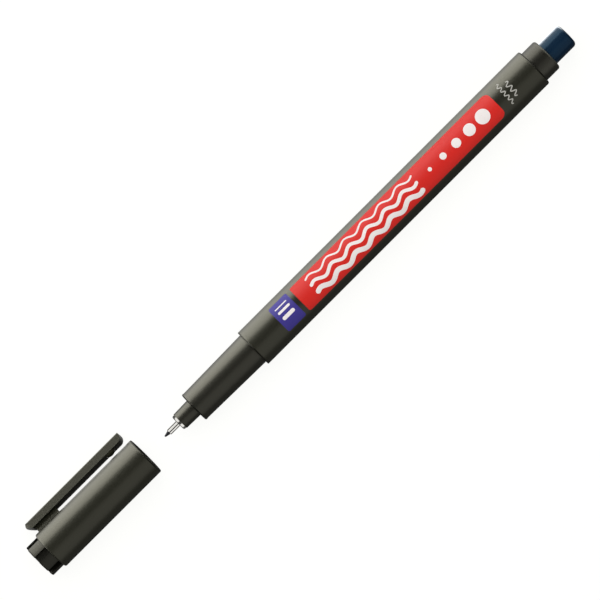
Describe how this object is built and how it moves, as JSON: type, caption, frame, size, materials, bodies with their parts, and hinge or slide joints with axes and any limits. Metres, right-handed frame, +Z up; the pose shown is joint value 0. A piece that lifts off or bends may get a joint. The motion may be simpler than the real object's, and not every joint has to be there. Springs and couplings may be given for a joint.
{
  "type": "acetate marker",
  "caption": "Fine-point overhead-film marker lying on its clip, with its vented pocket cap drawn off in line; the cap slides on over the nib until it meets the barrel.",
  "frame": {"origin": "middle of the space that the pen and its drawn-off cap take up, on the surface they lie on", "axes": "+X along the pen from the cap to the coloured end plug, +Y to the side the clip leans on, +Z up"},
  "size_m": [0.171, 0.0132, 0.01],
  "materials": {
    "body_plastic": "satin warm-grey moulding",
    "grip_plastic": "satin dark-grey moulding",
    "sleeve_metal": "bright drawn metal",
    "nib_fibre": "pressed fibre, ink-stained",
    "store_fibre": "fibre wad soaked with blue ink",
    "store_film": "clear wrap",
    "plug_blue": "gloss navy moulding"
  },
  "bodies": {
    "pen": {"barrel": "body_plastic", "front_section": "grip_plastic", "nib_holder": "grip_plastic", "nib_sleeve": "sleeve_metal", "nib": "nib_fibre", "ink_reservoir": "store_fibre", "reservoir_film": "store_film", "end_stopper": "grip_plastic", "colour_plug": "plug_blue"},
    "cap": {"cap_shell": "body_plastic", "inner_cap": "grip_plastic"}
  },
  "joints": [
    {"name": "cap_slide", "type": "slide", "parent": "pen", "child": "cap", "axis": [1, 0, 0], "range_m": [0, 0.03465]}
  ]
}
